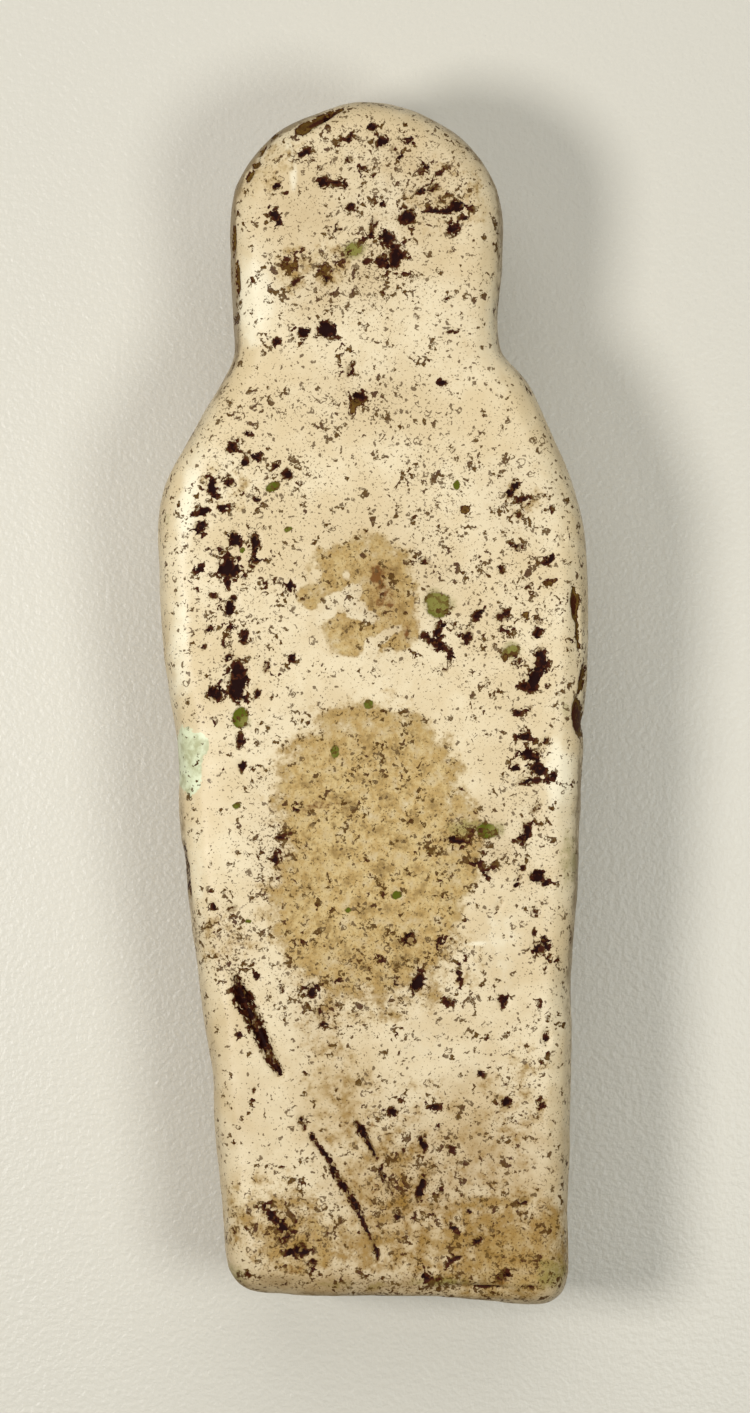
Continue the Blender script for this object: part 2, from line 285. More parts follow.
# The front, in millimetres: p from the figure's own middle line, whose x is given at stations in y. Each
# carved line is (depth, (p, y, half width), ...), the same on both sides; a depth below 0 is a ridge.
MIDDLE_Y = [-54, -36, -18, 0, 8, 15, 20, 27.8, 31, 33.6, 38.8, 55]
MIDDLE_X = [2.25, 1.6, 0.8, 0.5, 0.15, -0.1, -0.5, 0.05, -0.1, -0.6, -0.7, -0.7]
FACE_LINES = [
    (0.42, (0, 47.5, 0.6), (3.6, 46.4, 0.6), (6.4, 43.1, 0.6), (7.3, 38.8, 0.6), (6.2, 34.2, 0.6),
     (3.4, 31.2, 0.6), (0, 30.2, 0.6)),
    (-0.30, (1.1, 42.5, 0.6), (3, 43.2, 0.7), (5.4, 42.3, 0.5), (6.3, 41.4, 0.3)),
    (0.26, (1.2, 40.5, 0.3), (2.2, 41.3, 0.35), (3.5, 41.5, 0.35), (4.7, 40.9, 0.3), (6.3, 40.3, 0.25)),
    (0.20, (1.2, 40.4, 0.3), (2.6, 39.8, 0.3), (3.9, 39.8, 0.3), (4.8, 40.6, 0.3)),
    (-0.22, (2.2, 40.6, 0.8), (3.8, 40.6, 0.8)),
    (-0.40, (0, 42.2, 0.8), (0, 38.3, 1.1)),
    (-0.30, (0.9, 38, 0.8), (1.3, 37.9, 0.7)),
    (0.25, (1.9, 39.2, 0.4), (2.3, 37.9, 0.4), (1.6, 37.1, 0.4)),
    (0.38, (0, 35.1, 0.4), (1.4, 35.1, 0.4), (2.4, 35.3, 0.3)),
    (-0.24, (0, 35.8, 0.6), (1.5, 35.7, 0.5)),
    (-0.28, (0, 34.4, 0.6), (1.3, 34.5, 0.5)),
    (0.18, (0, 33.5, 0.5), (1, 33.6, 0.5)),
    (-0.35, (8.3, 42, 0.5), (9.2, 40.8, 0.6), (8.8, 38.9, 0.5), (8, 37.8, 0.4)),
    (0.30, (8, 41.2, 0.4), (8.3, 40, 0.45), (7.9, 38.8, 0.3)),
]
WIG_LINES = [
    (0.40, (3.1, 20.9, 0.5), (3.3, 25, 0.5), (4.6, 31, 0.5)),
    (0.40, (9.9, 20.9, 0.5), (10, 25.5, 0.5), (13, 30, 0.5)),
    (0.35, (3.1, 20.8, 0.5), (9.9, 20.8, 0.5)),
    (0.25, (3.4, 22.3, 0.3), (9.7, 22.3, 0.3)),
]
ARM_LINES = [
    (-0.35, (5.9, 16, 0.9), (7.2, 27.4, 0.9)),
    (-0.35, (7.2, 27.4, 0.8), (9.4, 25.2, 1.1), (11.4, 22.4, 1.3)),
    (0.30, (4.4, 18.5, 0.4), (5.7, 27.4, 0.4), (7.4, 29.1, 0.4), (10, 26.9, 0.4), (13, 22.9, 0.4)),
    (0.30, (7.8, 18.6, 0.4), (8.3, 24.1, 0.4), (10.1, 21.7, 0.4)),
    (0.30, (3.2, 17.1, 0.35), (8.3, 17.1, 0.35)),
    (0.30, (2.7, 15.9, 0.35), (8.8, 15.9, 0.35)),
    (0.30, (2.9, 14.7, 0.35), (8.6, 14.7, 0.35)),
    (-0.25, (2.6, 17.6, 0.6), (2.5, 14.6, 0.7)),
]
# A forearm: the elbow and wrist (side, y), its radius, and between which two sides it comes into sight.
FOREARMS = [((-14.6, 7.2), (4.4, 14.6), 4.1, (9, 3)), ((14.6, 7.2), (-4.4, 14.6), 3.9, (-1, 3))]
FOREARM_HEIGHT = 0.45
FOREARM_EDGE = 0.35
LEG_LINES = [(0.35, (0, -12, 1.2), (0, -42, 1.4)), (0.5, (0, -43, 1.2), (0, -53.5, 1.4))]
STRAND_MM = 1.15
STRAND_DEPTH = 0.16
STRANDS_ROUND = 36
FACE_MIDDLE_Y = 38.8
FACE_HALF_WIDTH, FACE_HALF_HEIGHT = 7.9, 9.2

# ------------------------------------------------------------
# Fields over the figure's points, all in millimetres.


def smooth(value, start, end):
    """0 below start, 1 above end, and an even S between."""
    t = np.clip((value - start) / (end - start), 0, 1)
    return t * t * (3 - 2 * t)


def inside_mark(x, y, mark):
    """How far each point is from a mark's middle along its two axes: 1 at the mark's outline."""
    at_x, at_y, half_x, half_y, turn, _ = mark
    c, s = math.cos(math.radians(turn)), math.sin(math.radians(turn))
    return ((x - at_x) * c + (y - at_y) * s) / half_x, ((y - at_y) * c - (x - at_x) * s) / half_y


def blots(x, y, marks, sharpness=0.9):
    """The strongest of the marks at each point: its strength at its middle, fading outwards."""
    field = np.zeros_like(x)
    for mark in marks:
        u, v = inside_mark(x, y, mark)
        field = np.maximum(field, mark[-1] * np.exp(-sharpness * (u * u + v * v)))
    return field


def patches(x, y, marks, start=1.35, end=0.75):
    """Like blots, but each mark is even inside and ends within a short distance of its outline."""
    field = np.zeros_like(x)
    for mark in marks:
        u, v = inside_mark(x, y, mark)
        field = np.maximum(field, mark[-1] * smooth(-np.hypot(u, v), -start, -end))
    return field


def stroke(x, y, line):
    """1 along the middle of a line, 0 at its edges, and below 0 outside it."""
    field = np.full_like(x, -9.0)
    for (x0, y0, w0), (x1, y1, w1) in zip(line, line[1:]):
        dx, dy = x1 - x0, y1 - y0
        t = np.clip(((x - x0) * dx + (y - y0) * dy) / (dx * dx + dy * dy), 0, 1)
        off = np.hypot(x - x0 - t * dx, y - y0 - t * dy)
        field = np.maximum(field, 1 - off / (w0 + t * (w1 - w0)))
    return field


def rough(points, grain, seed, octaves=3):
    """Fractal noise, about -1 to 1, with features of the size of grain."""
    shift = Vector((seed * 17.3, seed * 5.1, seed * 9.7))
    return np.array([noise.fractal(Vector(p) / grain + shift, 1.0, 2.0, octaves) for p in points])


def pit_field(points, x, y, back):
    """Above 0.5 where the glaze is gone: the pits of the back, and scattered ones over the other sides."""
    ragged = 0.30 * rough(points, 0.9, 1, 4)
    placed = np.maximum(1.08 * blots(x, y, PITS), 0.36 * blots(x, y, PITS, 0.22)) + ragged
    lines = np.max([stroke(x, y, line) for line in CRACKS], axis=0)
    cut = 0.56 + 0.55 * lines + 0.35 * ragged
    cut = np.maximum(cut, np.minimum(0.58 + 0.9 * stroke(x, y, GASH) + 0.6 * ragged, 0.92))
    scattered = 0.62 * rough(points, 5.0, 2, 4) + 0.5 * rough(points, 1.1, 3, 3) - 0.18
    return np.where(back > 0.5, np.maximum(placed, cut), np.maximum(scattered, cut * back))


def front_relief(x, y):
    """How far the front's fine carving stands out of its surface: below 0 in a groove."""
    side = x - np.interp(y, MIDDLE_Y, MIDDLE_X)
    p = np.abs(side)
    height = np.zeros_like(x)
    for depth, *line in FACE_LINES + WIG_LINES + ARM_LINES + LEG_LINES:
        height -= depth * smooth(stroke(p, y, line), 0, 1)
    for (p0, y0), (p1, y1), radius, sight in FOREARMS:
        dp, dy = p1 - p0, y1 - y0
        along = np.clip(((side - p0) * dp + (y - y0) * dy) / (dp ** 2 + dy ** 2), 0, 1)
        off = np.hypot(side - p0 - along * dp, y - y0 - along * dy)
        edge = np.exp(-((off - radius) / 0.5) ** 2) * smooth(along, 0.02, 0.2)
        swell = FOREARM_HEIGHT * np.clip(1 - (off / radius) ** 2, 0, 1)
        height += (swell - FOREARM_EDGE * edge) * smooth(side, *sight)
    face_out = np.hypot(p / FACE_HALF_WIDTH, (y - FACE_MIDDLE_Y) / FACE_HALF_HEIGHT)
    angle = np.arctan2(p, y - FACE_MIDDLE_Y)
    # The wig's strands hang straight in its two ends, and spread out round the face.
    hangs = smooth(y, 21.5, 22.5) * (1 - smooth(y, 34, 38))
    hangs *= smooth(p, 3.6, 4.2) * (1 - smooth(p, 9.2, 9.8))
    wig = smooth(face_out, 1.0, 1.06)
    radiates = smooth(y, 36, 39) * wig
    strands = hangs * np.cos(2 * np.pi * p / STRAND_MM) + radiates * np.cos(STRANDS_ROUND * angle)
    return height - STRAND_DEPTH * np.maximum(strands, 0) ** 2 * wig


# ------------------------------------------------------------
# The figure's fine mesh.


def settle(work, verts, rounds):
    """Smooths some of a mesh's points, round after round."""
    for _ in range(rounds):
        bmesh.ops.smooth_vert(work, verts=verts, factor=0.5, use_axis_x=True, use_axis_y=True,
                              use_axis_z=True)


def is_carved(place):
    """Whether a place is on the carved part of the front."""
    return place.z < CARVED_BELOW_Z and place.y > CARVED_ABOVE_Y and abs(place.x) < CARVED_WITHIN_X


def even_copy(node, facet):
    """A closed copy of a CAD node in small even faces, finer over its back and the carved front."""
    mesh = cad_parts[node].data.copy()
    work = bmesh.new()
    work.from_mesh(mesh)
    bmesh.ops.remove_doubles(work, verts=work.verts, dist=WELD_MM * MM)
    work.to_mesh(mesh)
    work.free()
    piece = bpy.data.objects.new("even", mesh)
    bpy.context.scene.collection.objects.link(piece)
    remesh = piece.modifiers.new("Even faces", "REMESH")
    remesh.mode = "VOXEL"
    remesh.voxel_size = facet
    shown = piece.evaluated_get(bpy.context.evaluated_depsgraph_get())
    even = bpy.data.meshes.new_from_object(shown)
    bpy.data.objects.remove(piece)
    work = bmesh.new()
    work.from_mesh(even)
    fine_above = FINE_ABOVE_Z * MM
    settle(work, list(work.verts), 2)
    settle(work, [v for v in work.verts if v.co.z > fine_above], 2)
    fine = {v for v in work.verts if v.co.z > fine_above or is_carved(v.co / MM)}
    carved = [e for e in work.edges if fine.issuperset(e.verts)]
    bmesh.ops.subdivide_edges(work, edges=carved, cuts=1, use_grid_fill=True)
    settle(work, list(work.verts), 1)
    settle(work, [v for v in work.verts if v.co.z > fine_above], 2)
    work.to_mesh(even)
    work.free()
    return even


def vectors_of(items, name):
    """A vector of each of a mesh's items, as the rows of an array."""
    flat = np.zeros(3 * len(items), np.float32)
    items.foreach_get(name, flat)
    return flat.reshape(-1, 3).astype(float)


def set_points(mesh, points):
    """Moves the mesh's points to places in millimetres."""
    mesh.vertices.foreach_set("co", (points * MM).astype(np.float32).ravel())
    mesh.update()


def hollows(mesh, rounds):
    """How far each point lies below the smoothed surface, in millimetres: above 0 in a hollow."""
    pairs = np.zeros(2 * len(mesh.edges), np.int32)
    mesh.edges.foreach_get("vertices", pairs)
    first, second = pairs.reshape(-1, 2).T
    start = vectors_of(mesh.vertices, "co")
    spread = start.copy()
    links = np.bincount(np.concatenate([first, second]), minlength=len(start))[:, None]
    for _ in range(rounds):
        total = np.zeros_like(spread)
        np.add.at(total, first, spread[second])
        np.add.at(total, second, spread[first])
        spread = total / links
    return ((spread - start) * vectors_of(mesh.vertex_normals, "vector")).sum(1) / MM


def weather(mesh, look):
    """Makes the mesh lumpy, pitted, cracked and carved, and keeps on it the fields that its glaze reads."""
    points = vectors_of(mesh.vertices, "co") / MM
    rim_up = np.clip((points[:, 2] - BACK_Z + RIM_DROP) / RIM_DROP, 0, 1)
    points[:, 2] += RIM_DROP * (rim_up ** look.rim_softness - rim_up)
    set_points(mesh, points)
    facing = vectors_of(mesh.vertex_normals, "vector")
    up = facing[:, 2]
    x, y, z = points.T
    x, y = x * MARK_SPREAD, y * MARK_SPREAD
    back = smooth(z, *BACK_RISE)
    pits = pit_field(points, x, y, back)
    gash = smooth(stroke(x, y, GASH), 0, 0.9) * back
    crack = np.max([smooth(stroke(x, y, line), -0.2, 0.9) for line in CRACKS], axis=0) * back
    green = blots(x, y, GREEN, 0.7) + 0.10 * rough(points, 0.8, 4)
    olive = blots(x, y, OLIVE, 0.7)
    lumps = 0.5 * smooth(up, 0.5, 0.9) + 0.45 * rough(points, 7.0, 5, 2) + 0.22 * rough(points, 2.4, 6, 2)
    pit_mm, gash_mm = look.pit_depth / MM, look.gash_depth / MM
    sunk = look.waviness / MM * np.clip(lumps, -0.4, 1.6)
    sunk += pit_mm * smooth(pits, 0.4, 0.75)
    sunk += gash_mm * gash + CRACK_SHARE * gash_mm * crack
    sunk += GREEN_SHARE * pit_mm * smooth(green, 0.4, 0.55) * back
    sunk += OLIVE_SHARE * pit_mm * smooth(olive, 0.4, 0.6) * back
    sunk += (blots(x, y, CHIPS, 0.8) - blots(x, y, SWELLS, 0.8)) * smooth(z, *CHIP_RISE)
    sunk -= front_relief(x, y) * smooth(-up, *WALL_TURN)
    points -= facing * sunk[:, None]
    points = np.clip(points, LOW, HIGH)
    set_points(mesh, points)

    tan = patches(x, y, TAN_STAINS) * (1 - patches(x, y, TAN_HOLES))
    fields = {
        "pits": pits,
        "tan": np.where(back > 0.5, tan, 0.35 + 0.4 * rough(points, 6.0, 7)),
        "wall": (1 - smooth(up, *WALL_TURN)) * (0.25 + blots(x, y, WALL_DIRT, 0.5)),
        "wash": blots(x, y, WASH, 0.7) * back,
        "ochre": blots(x, y, OCHRE) * back,
        "pale": blots(x, y, PALE) * back,
        "green": green * back,
        "olive": (olive + 0.08 * rough(points, 0.8, 9)) * back,
        "mint": (blots(x, y, MINT, 0.7) + 0.08 * rough(points, 1.2, 8)) * back,
        "green_tint": blots(x, y, GREEN_TINTS) * smooth(z, *EDGE_RISE),
        "specks": np.where(back > 0.5, blots(x, y, SPECK_FIELDS, 0.6), 0.15),
        "hollow": hollows(mesh, HOLLOW_ROUNDS),
    }
    for name, values in fields.items():
        mesh.attributes.new(name, "FLOAT", "POINT").data.foreach_set("value", values.astype(np.float32))


# ------------------------------------------------------------
# Materials.

# Sizes of the glaze's clouds and marks, in millimetres; a fleck's or ring's radius is a share of its cell.
BROAD_MM, MIDDLING_MM, FINE_MM, STREAK_MM, DUST_MM = 7.0, 1.6, 0.35, 0.55, 0.2
FRAY_MM, FRAY_REACH_MM = 0.5, 0.9
COARSE_SCRAP_MM, FINE_SCRAP_MM = 1.0, 0.42
FLECK_MM, FLECK_RADIUS = 0.5, 0.40
RING_MM, RING_RADIUS, RING_BREAK_MM = 0.95, 0.36, 0.45
# Each grain's size in millimetres and its ripple, and each relief's strength and its depth in millimetres.
GLAZE_GRAIN, GLAZE_RELIEF = (0.9, 1.6), (0.6, 0.12)
TABLE_GRAIN, TABLE_RELIEF = (0.55, 0.3), (0.8, 0.1)
GLAZE_SPECULAR, COAT_ROUGHNESS, TABLE_ROUGHNESS = 0.06, 0.42, 0.36


def linear(*srgb):
    """A screen colour of three numbers from 0 to 255, as linear light."""
    shares = [value / 255 for value in srgb]
    return tuple(c / 12.92 if c <= 0.04045 else ((c + 0.055) / 1.055) ** 2.4 for c in shares)


class Wiring:
    """Adds nodes to one node tree and joins them. A socket or a plain value may be given for any input."""

    def __init__(self, tree):
        self.tree = tree

    def add(self, kind, inputs=None, **settings):
        node = self.tree.nodes.new(kind)
        for key, value in settings.items():
            setattr(node, key, value)
        for key, value in (inputs or {}).items():
            self.feed(node.inputs[key], value)
        return node

    def feed(self, socket, value):
        if isinstance(value, bpy.types.NodeSocket):
            self.tree.links.new(value, socket)
        else:
            socket.default_value = value

    def field(self, name):
        return self.add("ShaderNodeAttribute", attribute_name=name).outputs["Fac"]

    def math(self, operation, first, second=0.0, clamp=False):
        node = self.add("ShaderNodeMath", {0: first, 1: second}, operation=operation, use_clamp=clamp)
        return node.outputs[0]

    def plus(self, first, second):
        return self.math("ADD", first, second)

    def minus(self, first, second):
        return self.math("SUBTRACT", first, second)

    def times(self, first, second, clamp=False):
        return self.math("MULTIPLY", first, second, clamp)

    def swing(self, value, strength):
        """A noise made to swing about 0."""
        return self.times(self.minus(value, 0.5), strength)

    def ramp(self, value, start, end, low=0.0, high=1.0):
        """From low to high in an even S, as the value goes from start to end."""
        inputs = {"Value": value, "From Min": start, "From Max": end, "To Min": low, "To Max": high}
        return self.add("ShaderNodeMapRange", inputs, interpolation_type="SMOOTHSTEP").outputs[0]

    def noise(self, place, size_mm, detail=2.0, roughness=0.5, output="Fac"):
        inputs = {"Vector": place, "Scale": 1 / (size_mm * MM), "Detail": detail, "Roughness": roughness}
        return self.add("ShaderNodeTexNoise", inputs).outputs[output]

    def cells(self, place, size_mm):
        """A random grid's cells: two random numbers of each, and how far a place is from its middle."""
        grid = self.add("ShaderNodeTexVoronoi", {"Vector": place, "Scale": 1 / (size_mm * MM)})
        chance = self.add("ShaderNodeSeparateColor", {0: grid.outputs["Color"]}).outputs
        return chance[0], chance[1], grid.outputs["Distance"]

    def vector(self, operation, first, second, key=1):
        return self.add("ShaderNodeVectorMath", {0: first, key: second}, operation=operation).outputs[0]

    def blend(self, share, under, over):
        inputs = {0: share, 6: self.rgba(under), 7: self.rgba(over)}
        return self.add("ShaderNodeMix", inputs, data_type="RGBA").outputs[2]

    def lay(self, colour, mask, strength, over):
        """Lays one colour over another where the mask is, no more strongly than strength."""
        return self.blend(self.times(mask, strength), colour, over)

    @staticmethod
    def rgba(colour):
        return colour if isinstance(colour, bpy.types.NodeSocket) else (*tuple(colour)[:3], 1.0)


def fine_grain_group():
    """Height of a fine grain with a broader ripple, for the glaze and the table. It is built once."""
    built = bpy.data.node_groups.get("fine_grain")
    if built:
        return built
    tree = bpy.data.node_groups.new("fine_grain", "ShaderNodeTree")
    tree.interface.new_socket("Place", in_out="INPUT", socket_type="NodeSocketVector")
    for label, default in (("Grains per metre", 1000), ("Ripple", 0.5)):
        socket = tree.interface.new_socket(label, in_out="INPUT", socket_type="NodeSocketFloat")
        socket.default_value = default
    tree.interface.new_socket("Height", in_out="OUTPUT", socket_type="NodeSocketFloat")
    wire = Wiring(tree)
    given = tree.nodes.new("NodeGroupInput").outputs
    place, scale = given["Place"], given["Grains per metre"]
    grain = wire.add("ShaderNodeTexNoise", {"Vector": place, "Scale": scale, "Detail": 3, "Roughness": 0.55})
    broader = wire.times(scale, 0.17)
    slow = wire.add("ShaderNodeTexNoise", {"Vector": place, "Scale": broader, "Detail": 2})
    height = wire.plus(grain.outputs["Fac"], wire.times(slow.outputs["Fac"], given["Ripple"]))
    wire.feed(tree.nodes.new("NodeGroupOutput").inputs["Height"], height)
    return tree


def grain_height(wire, place, grain_mm, ripple):
    """The height of the fine grain over a material."""
    inputs = {"Place": place, "Grains per metre": 1 / (grain_mm * MM), "Ripple": ripple}
    return wire.add("ShaderNodeGroup", inputs, node_tree=fine_grain_group()).outputs[0]


def new_material(name):
    """A material with its wiring, its shader, and the place on the piece."""
    material = bpy.data.materials.new(name)
    material.use_nodes = True
    wire = Wiring(material.node_tree)
    place = wire.add("ShaderNodeTexCoord").outputs["Object"]
    return material, wire, material.node_tree.nodes["Principled BSDF"], place


def emboss(wire, shader, height, strength, depth_mm):
    """Relief too fine for the mesh."""
    bump = wire.add("ShaderNodeBump", {"Height": height, "Strength": strength, "Distance": depth_mm * MM})
    wire.feed(shader.inputs["Normal"], bump.outputs[0])


def flecks(wire, place, density):
    """A mask of flecks in some of the cells of a random grid, in more of them where density is high."""
    chance, size, distance = wire.cells(place, FLECK_MM)
    inside = wire.ramp(wire.minus(wire.times(size, FLECK_RADIUS), distance), -0.02, 0.03)
    return wire.times(inside, wire.math("LESS_THAN", chance, density))


def rings(wire, place, density):
    """Thin broken rings, the rims of burst bubbles, in some of the cells of a random grid."""
    chance, size, distance = wire.cells(place, RING_MM)
    off = wire.math("ABSOLUTE", wire.minus(wire.times(size, RING_RADIUS), distance))
    broken = wire.ramp(wire.noise(place, RING_BREAK_MM, 1), 0.40, 0.48)
    chosen = wire.times(wire.math("LESS_THAN", chance, density), broken)
    return wire.times(wire.ramp(off, 0.09, 0.05), chosen)


def faience_material(look):
    """Cream glaze, mottled and stained, with flecks, rings and pits of dark body and remains of green."""
    material, wire, shader, place = new_material("glazed_faience")

    # Places shifted a little to all sides, which fray the edges of the marks.
    shift = wire.vector("SUBTRACT", wire.noise(place, FRAY_MM, 3, output="Color"), (0.5, 0.5, 0.5))
    frayed = wire.vector("ADD", place, wire.vector("SCALE", shift, FRAY_REACH_MM * MM, key="Scale"))
    broad = wire.noise(place, BROAD_MM, 3.0, 0.6)
    middling = wire.noise(place, MIDDLING_MM, 4.0, 0.65)
    fine = wire.noise(place, FINE_MM, 3.0, 0.6)

    # The glaze itself.
    colour = wire.blend(wire.ramp(broad, 0.35, 0.68), look.glaze_warm, look.glaze)
    colour = wire.blend(wire.ramp(middling, 0.48, 0.72, 0.0, 0.5), colour, look.glaze_warm)
    colour = wire.blend(wire.ramp(fine, 0.52, 0.72, 0.0, 0.4), colour, look.glaze_warm)
    pale = wire.field("pale")
    chalky = wire.ramp(wire.plus(pale, wire.swing(middling, 0.9)), 0.25, 0.75)
    colour = wire.blend(chalky, colour, look.chalk)

    # Stains that have soaked in, with a darker tide line, a broad brown wash, and the stains' rusty hearts.
    mottled = wire.plus(wire.swing(middling, 1.3), wire.swing(fine, 0.35))
    stained = wire.field("tan")
    soaked = wire.plus(stained, wire.times(mottled, 1.3))
    tan = wire.ramp(soaked, 0.30, 0.86)
    streaks = wire.add("ShaderNodeMapping", {"Vector": place, "Scale": (1.0, 0.75, 1.0)}).outputs[0]
    tone = wire.plus(wire.noise(streaks, STREAK_MM, 4.0, 0.75), wire.times(broad, 0.35))
    tone = wire.plus(tone, wire.times(middling, 0.7))
    stain = wire.blend(wire.ramp(tone, 0.82, 1.20), look.stain_thin, look.stain)
    stain = wire.blend(wire.ramp(fine, 0.52, 0.70, 0.0, 0.4), stain, look.stain_dark)
    tide = wire.times(wire.ramp(soaked, 0.45, 0.65), wire.ramp(soaked, 0.95, 0.7))
    stain = wire.lay(stain, tide, 0.35, look.stain_dark)
    colour = wire.lay(colour, tan, wire.ramp(middling, 0.32, 0.52, 0.7, 0.95), stain)
    wash = wire.times(wire.field("wash"), wire.ramp(middling, 0.25, 0.7, 0.55, 1.1))
    colour = wire.blend(wire.times(wash, 0.85, clamp=True), colour, look.wash)
    deep = wire.ramp(wire.plus(stained, wire.times(mottled, 2.2)), 0.95, 1.6)
    colour = wire.lay(colour, deep, 0.6, look.stain_dark)
    streaked = wire.plus(mottled, wire.swing(fine, 0.8))
    ochre = wire.ramp(wire.plus(wire.field("ochre"), streaked), 0.38, 0.95)
    colour = wire.lay(colour, ochre, 0.95, look.ochre)

    # Dirt in the hollows and down the walls.
    dirt = wire.ramp(wire.plus(wire.field("hollow"), wire.times(mottled, 0.15)), 0.03, 0.22)
    colour = wire.lay(colour, dirt, 0.7, look.stain_dark)
    wall = wire.ramp(wire.plus(wire.field("wall"), mottled), 0.25, 0.8)
    colour = wire.lay(colour, wall, 0.8, look.stain_dark)

    # Angular scraps, from the cells of two random grids: they break every mark below into crisp pieces.
    coarse, _, _ = wire.cells(frayed, COARSE_SCRAP_MM)
    small, _, _ = wire.cells(frayed, FINE_SCRAP_MM)
    scraps = wire.plus(wire.plus(wire.swing(coarse, 0.55), wire.swing(small, 0.55)), wire.swing(fine, 0.6))

    # Green: crisp remains of a first colour, and a faint tint near the edges. Then olive and mint.
    tint = wire.ramp(wire.plus(wire.field("green_tint"), mottled), 0.35, 0.9)
    colour = wire.lay(colour, tint, 0.6, look.green_pale)
    green_value = wire.plus(wire.field("green"), wire.times(scraps, 0.25))
    green = wire.ramp(green_value, 0.47, 0.53)
    green_mix = wire.blend(wire.ramp(middling, 0.46, 0.66, 0.0, 0.5), look.green, look.green_pale)
    green_mix = wire.lay(green_mix, tint, 0.75, look.green_pale)
    green_mix = wire.blend(wire.ramp(scraps, 0.08, 0.16, 0.0, 0.7), green_mix, look.body_light)
    colour = wire.lay(colour, wire.ramp(green_value, 0.40, 0.47), 0.6, look.body_light)
    colour = wire.blend(green, colour, green_mix)
    olive_value = wire.plus(wire.field("olive"), wire.times(scraps, 0.45))
    olive = wire.blend(wire.ramp(fine, 0.42, 0.58), look.body_light, look.olive)
    olive = wire.blend(wire.ramp(olive_value, 0.78, 0.98), olive, look.body)
    colour = wire.blend(wire.ramp(olive_value, 0.42, 0.47), colour, look.body)
    colour = wire.blend(wire.ramp(olive_value, 0.53, 0.6), colour, olive)
    mint = wire.ramp(wire.plus(wire.field("mint"), wire.times(scraps, 0.12)), 0.48, 0.54)
    mint_mix = wire.blend(wire.ramp(middling, 0.42, 0.66, 0.0, 0.55), look.mint, look.green_pale)
    colour = wire.blend(mint, colour, mint_mix)

    # Dust, flecks and rings of the dark body, fewer of them on the palest glaze, then its larger pits.
    density = wire.field("specks")
    dust = wire.plus(wire.noise(place, DUST_MM, 2.0, 0.6), wire.times(density, 0.06))
    dust = wire.minus(wire.minus(dust, wire.times(mint, 0.2)), wire.times(pale, 0.035))
    colour = wire.lay(colour, wire.ramp(dust, 0.645, 0.675), 0.72, look.body_light)
    fleck_density = wire.minus(wire.plus(wire.times(density, 0.45), 0.19), wire.times(pale, 0.14))
    small_flecks = flecks(wire, frayed, fleck_density)
    colour = wire.lay(colour, small_flecks, 0.88, look.body_light)
    burst = rings(wire, frayed, wire.plus(wire.times(density, 0.34), 0.14))
    colour = wire.lay(colour, burst, 0.88, look.body_light)
    large_value = wire.plus(wire.times(density, 0.22), scraps)
    large = wire.ramp(large_value, 0.43, 0.47)
    fleck_colour = wire.blend(wire.ramp(large_value, 0.46, 0.6), look.body_light, look.body)
    colour = wire.lay(colour, large, 0.92, fleck_colour)
    pit_value = wire.plus(wire.field("pits"), wire.times(scraps, 1.05))
    pit = wire.ramp(pit_value, 0.52, 0.57)
    colour = wire.lay(colour, wire.ramp(pit_value, 0.44, 0.52), 0.6, look.body_light)
    dark = wire.blend(wire.ramp(pit_value, 0.56, 0.70), look.body_light, look.body)
    dark = wire.blend(wire.ramp(pit_value, 0.7, 1.0), dark, look.body_dark)
    wire.feed(shader.inputs["Base Color"], wire.blend(pit, colour, dark))

    # Gloss: a thin clear coat over the glaze, less where it is stained or washed, none where it is gone.
    bare = wire.math("MAXIMUM", wire.math("MAXIMUM", pit, large), wire.times(tan, 0.5))
    flaked = wire.math("MAXIMUM", green, wire.ramp(olive_value, 0.42, 0.5))
    bare = wire.math("MAXIMUM", wire.math("MAXIMUM", bare, flaked), wash, clamp=True)
    wire.feed(shader.inputs["Coat Weight"], wire.ramp(bare, 0.0, 1.0, 0.55, 0.0))
    wire.feed(shader.inputs["Roughness"], wire.ramp(middling, 0.3, 0.7, 0.55, 0.7))
    shader.inputs["Specular IOR Level"].default_value = GLAZE_SPECULAR
    shader.inputs["Coat Roughness"].default_value = COAT_ROUGHNESS

    holes = wire.math("MAXIMUM", pit, wire.math("MAXIMUM", large, wire.times(small_flecks, 0.5)))
    grain = wire.times(grain_height(wire, place, *GLAZE_GRAIN), 0.35)
    emboss(wire, shader, wire.minus(grain, wire.times(holes, 0.8)), *GLAZE_RELIEF)
    return material


def table_material(look):
    """A pale grey laminate with a fine leathery grain."""
    material, wire, shader, place = new_material("pale_laminate")
    shader.inputs["Base Color"].default_value = (*look.table, 1)
    shader.inputs["Roughness"].default_value = TABLE_ROUGHNESS
    emboss(wire, shader, grain_height(wire, place, *TABLE_GRAIN), *TABLE_RELIEF)
    return material


# ------------------------------------------------------------
# Settings, operators and panel.

# Each lamp: its name, its place and size in metres, and its colour on a screen.
LAMPS = (
    ("key", (-0.17, -0.02, 0.36), 0.09, (255, 253, 250)),
    ("fill", (0.13, -0.055, 0.40), 0.11, (252, 255, 252)),
    ("soft", (0, 0.25, 0.40), 0.40, (255, 254, 251)),
)
LIGHT_AIM = Vector((0, 0, 0.5 * BACK_Z * MM))
SKY_COLOUR = (250, 250, 246)
CAMERA_X, CAMERA_Y = 0.1 * MM, -0.3 * MM
SENSOR_MM = 36


def colour_setting(name, description, *srgb):
    return FloatVectorProperty(name=name, description=description, subtype="COLOR", size=3, min=0, max=1,
                               default=linear(*srgb))


def length_setting(name, description, default, **limits):
    return FloatProperty(name=name, description=description, default=default, unit="LENGTH",
                         subtype="DISTANCE", **limits)


def power_setting(name, description, default):
    return FloatProperty(name=name, description=description, default=default, unit="POWER")


